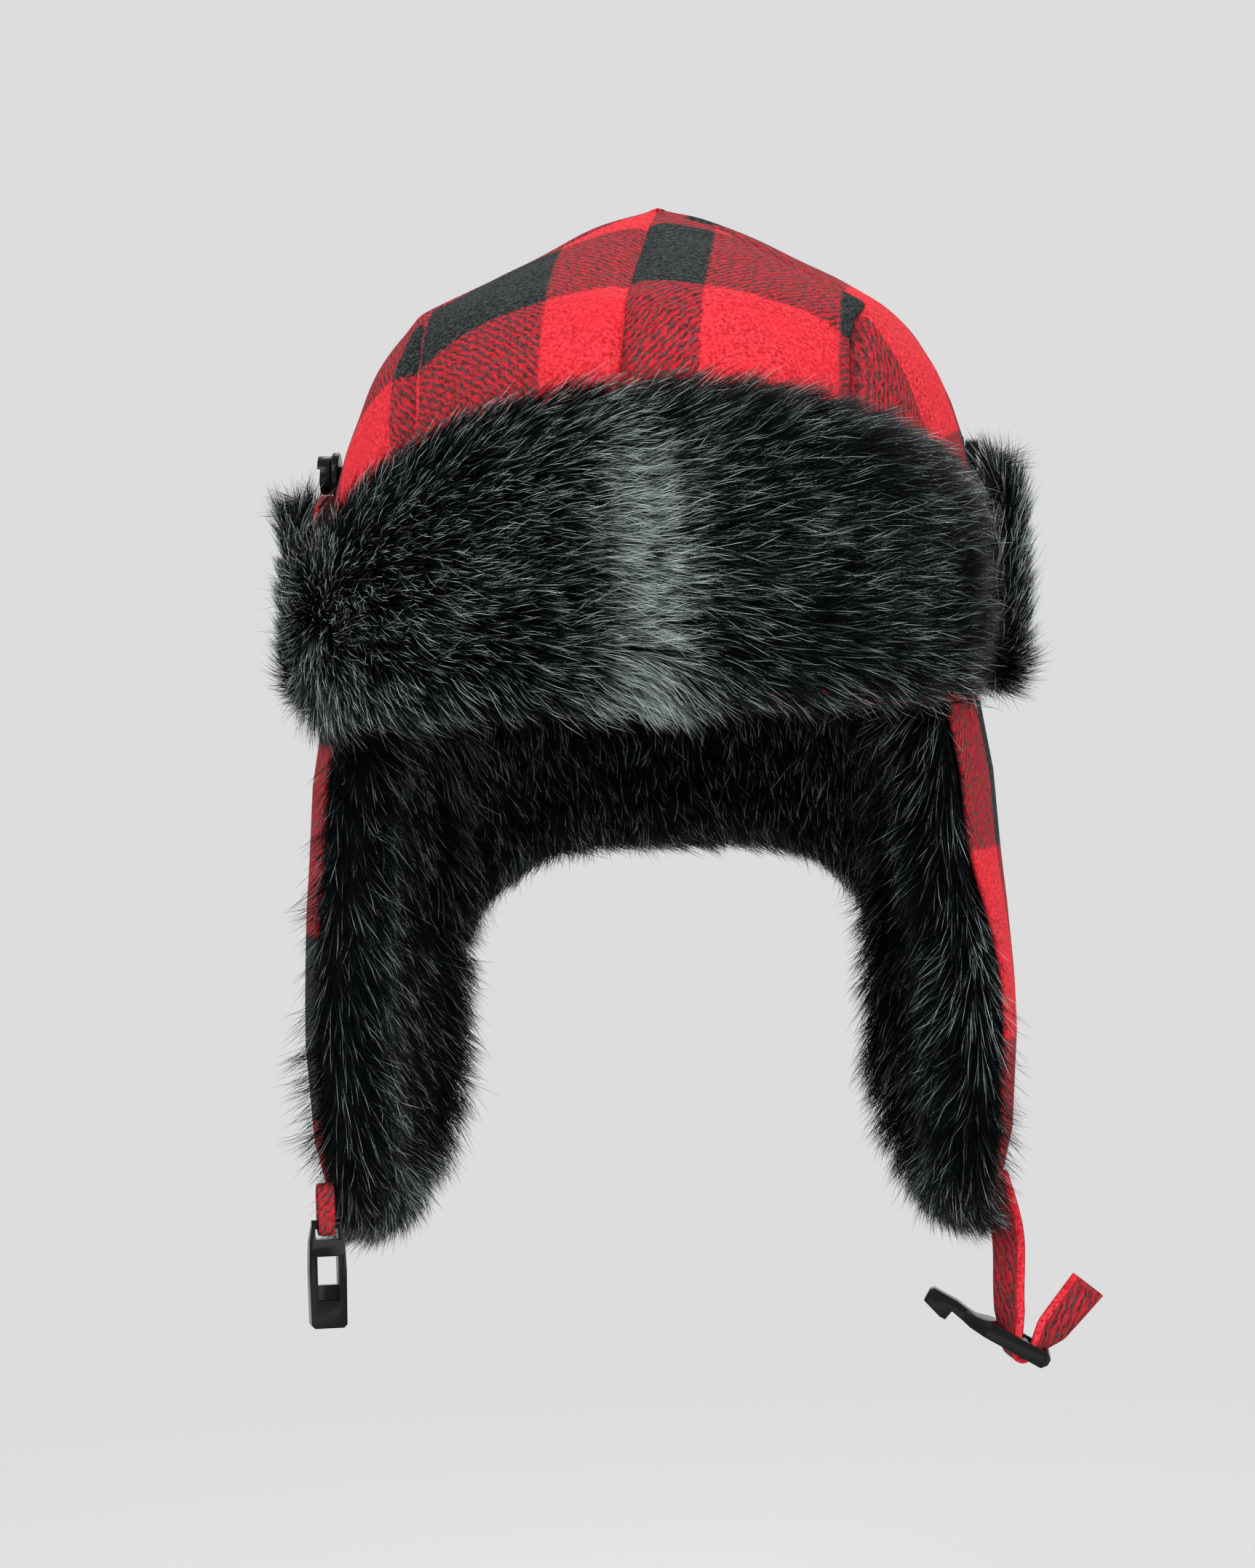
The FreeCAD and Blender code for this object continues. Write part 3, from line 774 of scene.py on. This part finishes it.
EAR_OUTLINE = np.array([(73, 0), (73, -40), (73.5, -74), (72.5, -96), (69, -118), (57, -138), (35, -152),
                        (5, -158), (-21, -154), (-39, -141), (-48, -120), (-51, -94), (-51, -48), (-50, 0)])
EAR_CURVE = 0.86  # the share of the way round that isn't its straight top
SPINE_Y, SPINE_TOP, SPINE_BOTTOM = 12.0, -14.0, -115.0
BACKING_DEPTH, ROLL = 17.0, 13.0  # how deep the padding is, and how far in from the edge it gets there


def ear_outline(u):
    """The ear flap's edge from the side: down the back, round the bottom and up the front, then across."""
    return closed_outline(EAR_OUTLINE, u, EAR_CURVE)


def to_spine(edge, w):
    """Points a share w of the way from the edge to the flap's spine, and how far in they are."""
    height = np.clip(edge[..., 1], SPINE_BOTTOM, SPINE_TOP)
    middle = np.stack([np.full(edge.shape[:-1], SPINE_Y), height], -1)
    span = np.linalg.norm(edge - middle, axis=-1)
    return edge + (middle - edge) * w[..., None], span * w


def ear_surface(side):
    """The backing under an ear flap's fur: it rolls over the edge and lines the inside."""
    def surface(u, v):
        u = u % 1.0
        place, inset = to_spine(ear_outline(u), np.clip(v, 0, 1) ** 1.5)
        depth = CLOTH + BACKING_DEPTH * rolled(inset, ROLL)
        depth = depth + np.minimum(v, 0) * 5
        return wall_point(place[..., 0], place[..., 1], depth, side)
    return surface


def make_ear_flap(side, name, seed):
    """An ear flap: its backing, its hair and the cloth outside. side is 1 on the wearer's left."""
    body = name + "_ear_flap"

    def blend(obj):
        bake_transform(obj)

    surface = ear_surface(side)
    backing = pelt(body + "_backing", surface, 46, 170, wrap=True)
    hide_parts(body + "_fur", body + "_wadding")
    blend(backing)

    rng = np.random.default_rng(seed)
    roots, normals, u, v = scatter(surface, amount(36000), rng, lambda u, v: np.where(v < 0.45, 1.0, 0.6))
    spine_z = np.clip(roots[:, 2], SPINE_BOTTOM, SPINE_TOP)
    towards = unit(np.stack([SPINE_Y - roots[:, 1], spine_z - roots[:, 2]], 1))
    core = wall_point(roots[:, 1] + 9 * towards[:, 0], roots[:, 2] + 9 * towards[:, 1], 9.0, side)
    normals = normals * np.sign(np.sum(normals * (roots - core), axis=1, keepdims=True))
    y, z = roots[:, 1], roots[:, 2]
    front = np.clip((-y - 22) / 16, 0, 1)
    rear = np.clip((y - 50) / 14, 0, 1)
    bottom = np.clip((-z - 125) / 18, 0, 1)
    outside = wall_point(y, z, 0.0, side)
    depth = np.linalg.norm(roots - outside, axis=1)
    fan = np.clip(1 - depth / 7.5, 0, 1) * np.clip((-z - 28 - (12 if side > 0 else 0)) / 25, 0.15, 1)
    fan = fan * np.where((side > 0) & (z < -112) & (z > -138), 0.6, 1.0)
    parted = np.clip((depth - 8) / 6, 0, 1)
    lean = np.zeros_like(roots)
    lean[:, 0] = side * (0.9 * fan - 0.75 * front * parted)
    lean[:, 1] = 0.5 * rear + 0.35 * (1 - front) - 0.5 * fan * front
    lean[:, 2] = -0.8 - 0.4 * bottom + 0.3 * fan
    lean = lean + 0.25 * noises(roots, 18, 40)
    length = np.where((v < 0.5) | (bottom > 0.5), 15.0, 9.0) + 1.5 * noise(roots, 15, 21)
    length = length - 2.5 * fan - 2.5 * bottom
    shade = 0.1 * noise(roots, 14, 22) - 0.13 + 0.14 * bottom + 0.12 * fan
    shade = shade + 0.12 * front * noise(roots, 30, 23)
    patch = 0.35 * np.exp(-((z + 72) / 16) ** 2) * (depth < 14)
    shade = shade + np.where((side > 0) & (front > 0), patch, 0)
    # painted light: the hairs lying inward on the wearer's right flap are lightened
    shade = shade + 0.12 * parted * (side < 0)
    path, widths, tone = strands(roots, normals, lean, length, rng, lift=(0.85, 0.3), spread=0.45,
                                 shade=shade)
    for piece in hair(body + "_hair", path, widths, tone):
        blend(piece)

    w, u = shares(34, 160, wrap=True)
    place, _ = to_spine(ear_outline(u), w)
    centre = np.array([SPINE_Y, -70])
    place = centre + (place - centre) * [0.975, 0.985]
    if side > 0:  # the fur wraps over the cloth along the middle of the front edge
        wrapped = np.sin(pi * np.clip((-place[..., 1] - 30) / 112, 0, 1)) ** 2
        place[..., 0] += 6 * wrapped * np.clip((-place[..., 0] - 18) / 30, 0, 1)
    points = wall_point(place[..., 0], place[..., 1], 0, side)
    across, along = (100, 11) if side > 0 else (60, 46)
    mapped = np.stack([(place[..., 0] + across) / WARP, (-place[..., 1] + along) / WEFT], -1)
    shell = slab(body + "_cloth", points, CLOTH, unit(points * [-1, -1, 0]), uv=mapped, wrap=True)
    finish_piece(shell, "wool")
    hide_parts(body + "_shell")
    blend(shell)


def neck_edge(angle):
    """Height of the neck flap's lower edge, round the back."""
    return -43 - 41 * np.abs((angle - pi) / radians(52)) ** 3.2


def make_neck_flap():
    """The flap behind the neck, between the ear flaps."""
    def blend(obj):
        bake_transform(obj)

    reach = np.arccos(-(FLAP_SPLIT + 1.5) / (DEPTH_RATIO * 103))

    def surface(u, v):
        angle = reach + (2 * pi - 2 * reach) * u
        low, high = neck_edge(angle) - 2, 1.0
        height = low + (high - low) * np.clip(v, 0, 1) ** 1.3
        depth = CLOTH + BACKING_DEPTH * rolled(height - low, ROLL)
        r = np.interp(-height, -SKIRT[:, 1], SKIRT[:, 0]) - depth
        x, y = oval(r, angle)
        return np.stack([x, y, height], -1)

    backing = pelt("neck_flap_backing", surface, 40, 110)
    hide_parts("neck_flap_fur", "neck_flap_wadding")
    blend(backing)
    rng = np.random.default_rng(303)
    roots, normals, u, v = scatter(surface, amount(15000), rng)
    middle = np.arctan2(roots[:, 0], -roots[:, 1])
    core_x, core_y = oval(np.interp(-roots[:, 2] - 9, -SKIRT[:, 1], SKIRT[:, 0]) - 9, middle)
    core = np.stack([core_x, core_y, roots[:, 2] + 9], 1)
    normals = normals * np.sign(np.sum(normals * (roots - core), axis=1, keepdims=True))
    lean = np.zeros_like(roots)
    lean[:, 2] = -1.0
    lean[:, 0] = 0.25
    lean = lean + 0.3 * noises(roots, 16, 60)
    length = 10 + 1.5 * noise(roots, 15, 62)
    path, widths, tone = strands(roots, normals, lean, length, rng, lift=(0.9, 0.25), spread=0.5,
                                 shade=0.06 * noise(roots, 12, 61))
    for piece in hair("neck_flap_hair", path, widths, tone):
        blend(piece)

    v, u = shares(26, 110)
    angle = reach + (2 * pi - 2 * reach) * u
    z = neck_edge(angle) * (1 - v)
    r = np.interp(-z, -SKIRT[:, 1], SKIRT[:, 0])
    x, y = oval(r, angle)
    points = np.stack([x, y, z], -1)
    mapped = np.stack([angle * 112 / WARP, (-z + 46) / WEFT], -1)
    shell = slab("neck_flap_cloth", points, CLOTH, unit(points * [-1, -1, 0]), uv=mapped)
    finish_piece(shell, "wool")
    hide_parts("neck_flap_shell")
    blend(shell)


# Side cuffs

CUFF_OUTLINE = np.array([(50, 6), (50, 28), (49, 46), (43, 60), (21, 69), (-3, 64), (-11, 46), (-13, 28),
                         (-12, 6)])
CUFF_CURVE = 0.8  # the share of the way round that isn't its straight foot


def make_cuff(side, name, seed):
    """A side cuff: its backing, its hair, the cloth against the crown, and its press stud."""
    body = name + "_cuff"

    def base(y, z, off):
        r = np.interp(z, [6, 30, 55, 80], [100.5, 101, 100.8, 99.8]) + CLOTH + off
        c = np.clip(-y / (DEPTH_RATIO * r), -0.999, 0.999)
        return np.stack([side * r * np.sqrt(1 - c * c), y, z], -1)

    def surface(u, v):
        u = u % 1.0
        edge = closed_outline(CUFF_OUTLINE, u, CUFF_CURVE, (1, 1 if side > 0 else 0.88))
        middle = np.stack([np.full(edge.shape[:-1], 21.0), np.clip(edge[..., 1], 30, 54)], -1)
        w = np.clip(v, 0, 1) ** 1.4
        place = edge + (middle - edge) * w[..., None]
        off = 0.3 + 7.0 * rolled(np.linalg.norm(edge - middle, axis=-1) * w, 9.0)
        return base(place[..., 0], place[..., 1], off)

    backing = pelt(body + "_backing", surface, 34, 110, wrap=True)
    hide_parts(body + "_fur")
    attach(backing, body)
    rng = np.random.default_rng(seed)
    roots, normals, u, v = scatter(surface, amount(8500), rng)
    facing = np.sum(normals * (roots - [side * 85.0, 21, 40]), axis=1)
    normals = np.where((facing < 0)[:, None], -normals, normals)
    lean = np.zeros_like(roots)
    front = np.clip((4 - roots[:, 1]) / 12, 0, 1)
    lean[:, 2] = 1.0
    lean[:, 0] = side * (0.5 - 1.3 * np.clip((roots[:, 2] - 46) / 12, 0, 1) * front)
    lean[:, 1] = -0.1 - 0.9 * front
    lean[:, 2] -= 1.6 * np.clip((20 - roots[:, 2]) / 16, 0, 1)
    lean = lean + 0.25 * noises(roots, 12, 70)
    length = 14.0 if side > 0 else 10.5 + 4.5 * np.clip((roots[:, 2] - 44) / 12, 0, 1)
    path, widths, tone = strands(roots, normals, lean, length, rng, lift=(0.9, 0.35), spread=0.4,
                                 shade=0.1 + 0.1 * noise(roots, 10, 71), gather=0.6)
    for piece in hair(body + "_hair", path, widths, tone):
        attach(piece, body)
    w, u = shares(20, 100, wrap=True)
    edge = closed_outline(CUFF_OUTLINE, u, CUFF_CURVE)
    middle = np.stack([np.full(edge.shape[:-1], 20.0), np.clip(edge[..., 1], 30, 50)], -1)
    place = middle + (edge - middle) * 0.9 * (1 - w[..., None])
    points = base(place[..., 0], place[..., 1], 0.0)
    mapped = np.stack([(place[..., 0] + 60) / WARP, (-place[..., 1] + 46) / WEFT], -1)
    shell = slab(body + "_cloth", points, CLOTH, unit(points * [-1, -1, 0]), uv=mapped, wrap=True)
    finish_piece(shell, "wool")
    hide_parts(body + "_shell")
    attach(shell, body)
    softened_copy(body + "_socket", body, "plastic", 0.3)
    softened_copy(name + "_snap_stud", "crown", "plastic", 0.3)


# Straps, clips and studs

def softened_copy(node, body, material, width):
    """A copy of a hard CAD piece with its edges rounded, which stands for it."""
    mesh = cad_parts[node].data.copy()
    mesh.materials.clear()
    obj = bpy.data.objects.new(node + "_moulded", mesh)
    bpy.context.scene.collection.objects.link(obj)
    work = bmesh.new()
    work.from_mesh(mesh)
    bmesh.ops.remove_doubles(work, verts=work.verts, dist=0.02 * MM)
    bmesh.ops.dissolve_limit(work, angle_limit=radians(2), verts=work.verts, edges=work.edges)
    work.to_mesh(mesh)
    work.free()
    bevel = obj.modifiers.new("edges", "BEVEL")
    bevel.width = width * MM
    bevel.segments = 3
    bevel.limit_method = "ANGLE"
    bevel.angle_limit = radians(28)
    bevel.use_clamp_overlap = True
    bpy.context.view_layer.update()
    rounded = bpy.data.meshes.new_from_object(obj.evaluated_get(bpy.context.evaluated_depsgraph_get()))
    obj.modifiers.clear()
    obj.data = rounded
    rounded.polygons.foreach_set("use_smooth", [True] * len(rounded.polygons))
    rounded.set_sharp_from_angle(angle=radians(35))
    finish_piece(obj, material)
    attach(obj, body)
    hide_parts(node)


def strap_mesh(path, across, width, thick, closed=False):
    """A flat strap along a path, with soft round edges. across is its width direction at each point."""
    path, across = np.asarray(path, float), unit(np.asarray(across, float))
    ahead = unit(np.roll(path, -1, 0) - np.roll(path, 1, 0)) if closed else unit(np.gradient(path, axis=0))
    across = unit(across - ahead * np.sum(across * ahead, axis=1, keepdims=True))
    face = np.cross(ahead, across)
    ring = []
    for k in range(20):
        a = 2 * pi * k / 20
        ring.append((np.sign(cos(a)) * abs(cos(a)) ** 0.45 * width / 2,
                     np.sign(sin(a)) * abs(sin(a)) ** 0.7 * thick / 2))
    ring = np.array(ring)
    grid = path[:, None] + across[:, None] * ring[None, :, :1] + face[:, None] * ring[None, :, 1:]
    rows, columns = grid.shape[:2]
    faces = [tuple(f) for f in grid_faces(rows, columns, wrap=True)]
    if closed:
        last = (rows - 1) * columns
        faces += [(last + k, last + (k + 1) % columns, (k + 1) % columns, k) for k in range(columns)]
    else:
        faces += [tuple(range(columns))[::-1], tuple(range((rows - 1) * columns, rows * columns))]
    run = np.concatenate([[0], np.cumsum(np.linalg.norm(np.diff(path, axis=0), axis=1))])
    uv = np.stack([np.broadcast_to(ring[None, :, 0] + ring[None, :, 1], (rows, columns)),
                   np.broadcast_to(run[:, None], (rows, columns))], -1).reshape(-1, 2)
    return grid.reshape(-1, 3), faces, uv


def make_straps():
    """The chin strap, folded round the male clip, the female clip's loop, and both clips."""
    low, high = (np.array(c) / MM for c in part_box("left_chin_strap"))
    thick, width, tail_length = 2.8, 12.0, 27.0
    x, y = low[0] + thick / 2, (low[1] + high[1]) / 2
    turn_z, radius, lean = -197.0, 3.6, radians(40)
    down = [(x, y, z) for z in np.linspace(high[2] + 4, turn_z, 26)]
    centre = np.array([x + radius, y, turn_z])
    around = [centre + [-radius * cos(a), 0, -radius * sin(a)] for a in np.linspace(0, pi - lean, 16)[1:]]
    out = np.array([sin(lean), 0, cos(lean)])
    tail = [around[-1] + out * t for t in np.linspace(0, tail_length, 20)[1:]]
    path = np.array(down + around + tail)
    count = len(path)
    turn = np.zeros(count)
    n_down, n_around = len(down), len(around)
    turn[:n_down] = np.radians(np.interp(np.linspace(0, 1, n_down), [0, 0.3, 0.8, 1], [40, 52, 46, 22]))
    turn[n_down:n_down + n_around] = np.radians(np.linspace(22, -20, n_around))
    tail_share = np.linspace(0, 1, len(tail))
    turn[n_down + n_around:] = np.radians(np.interp(tail_share, [0, 0.3, 1], [-20, -62, -78]))
    across = np.stack([-np.sin(turn), np.cos(turn), 0 * turn], 1)
    path[:, 0] += 0.5 * noise(path, 14, 91) * (np.arange(count) < n_down)
    path[:, 0] -= 4.0 * np.clip(1 - np.arange(count) / (0.4 * n_down), 0, 1) ** 1.5
    points, faces, uv = strap_mesh(path, across, width, thick)
    edge = np.abs(uv[:, 0]) > width / 2 - 0.6
    # The strap's face lies in the mixed twill and its turned edges in plain red
    uv = np.stack([np.where(edge, 0.62, 0.25 + uv[:, 0] / WARP), 0.54 + uv[:, 1] / 230], 1)
    strap = clean(make_object("chin_strap_cloth", points, faces, uv=uv))
    finish_piece(strap, "wool")
    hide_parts("left_chin_strap")
    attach(strap, "left_strap")

    low, high = (np.array(c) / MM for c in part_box("right_clip_loop"))
    middle = (low + high) / 2
    ring_radius, straight = 2.7, 9.0
    slant = radians(15)
    across = np.array([cos(slant), sin(slant), 0])
    depth = np.array([-sin(slant), cos(slant), 0])
    bottom = np.array([middle[0], middle[1], low[2] + 3.5])
    loop = [bottom + depth * ring_radius * sin(a) - np.array([0, 0, ring_radius * cos(a)])
            for a in np.linspace(-pi / 2, pi / 2, 13)]
    top = bottom + [0, 0, straight]
    loop += [bottom + depth * ring_radius + [0, 0, h] for h in (3, 6)]
    loop += [top + depth * ring_radius * cos(a) + np.array([0, 0, ring_radius * sin(a)])
             for a in np.linspace(0, pi, 13)]
    loop += [bottom - depth * ring_radius + [0, 0, h] for h in (6, 3)]
    points, faces, uv = strap_mesh(loop, [across] * len(loop), 5.0, 1.6, closed=True)
    uv = np.stack([uv[:, 0] / WARP + 0.25, uv[:, 1] / WEFT + 0.62], 1)
    ring = clean(make_object("clip_loop_cloth", points, faces, uv=uv))
    finish_piece(ring, "wool")
    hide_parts("right_clip_loop")
    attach(ring, "right_ear_flap")
    softened_copy("male_clip", "left_strap", "plastic", 0.5)
    softened_copy("female_clip", "female_latch", "plastic", 0.5)


make_camera()
make_lights()
make_floor()
make_crown()
make_lining()
make_headband()
make_visor()
make_ear_flap(1, "left", 201)
make_ear_flap(-1, "right", 202)
make_neck_flap()
make_cuff(1, "left", 401)
make_cuff(-1, "right", 402)
make_straps()
